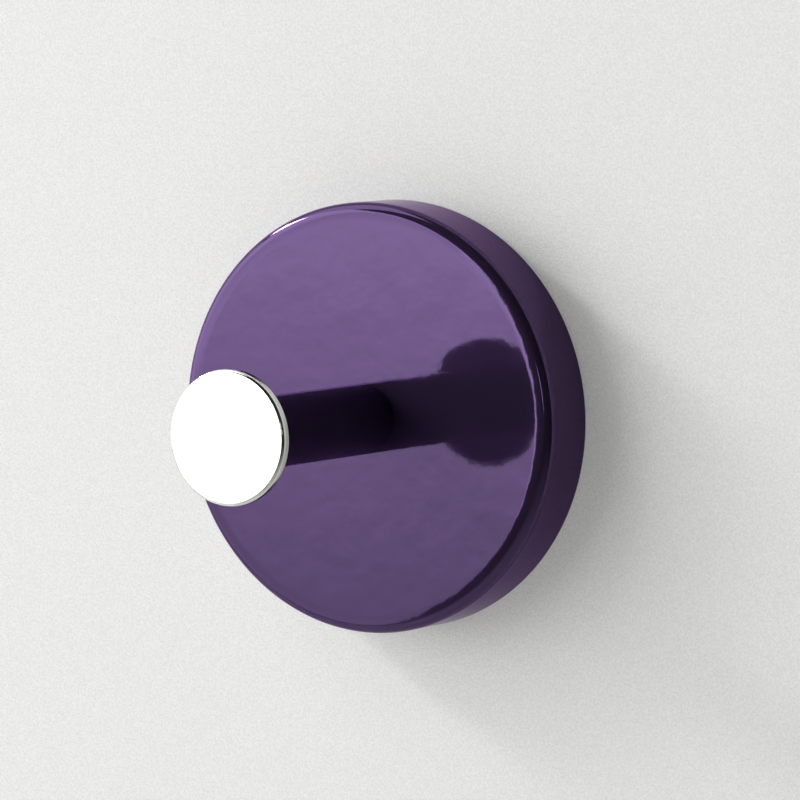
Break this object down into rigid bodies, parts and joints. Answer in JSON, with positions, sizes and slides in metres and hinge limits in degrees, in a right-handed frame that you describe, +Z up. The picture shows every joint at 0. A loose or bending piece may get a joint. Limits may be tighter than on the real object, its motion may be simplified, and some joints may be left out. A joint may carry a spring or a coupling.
{
  "type": "wall hook",
  "caption": "Round wall hook: a lacquered disc rose with a concealed screw fixing, a straight peg and a chromed end cap that keeps a robe or towel loop on.",
  "frame": {"origin": "the centre of the hook on the wall: where the peg's axis meets the plane of the wall", "axes": "+Z is up, -Y points out of the wall along the peg, +X is to the right as seen from the room, and the wall is the plane Y = 0"},
  "size_m": [0.055, 0.0729, 0.055],
  "materials": {
    "purple_lacquer": "high gloss lacquer on turned brass",
    "chrome": "polished chrome plate",
    "zinc_plate": "satin zinc plate",
    "screw_steel": "bright steel",
    "black_steel": "blackened steel",
    "grey_nylon": "moulded nylon"
  },
  "bodies": {
    "root": {"wall_plate": "zinc_plate", "wall_screw_left": "screw_steel", "wall_screw_right": "screw_steel", "wall_plug_left": "grey_nylon", "wall_plug_right": "grey_nylon", "rose": "purple_lacquer", "peg": "purple_lacquer", "end_cap": "chrome", "peg_screw": "screw_steel", "plain_washer": "screw_steel", "spring_washer": "screw_steel", "grub_screw": "black_steel"}
  },
  "joints": []
}
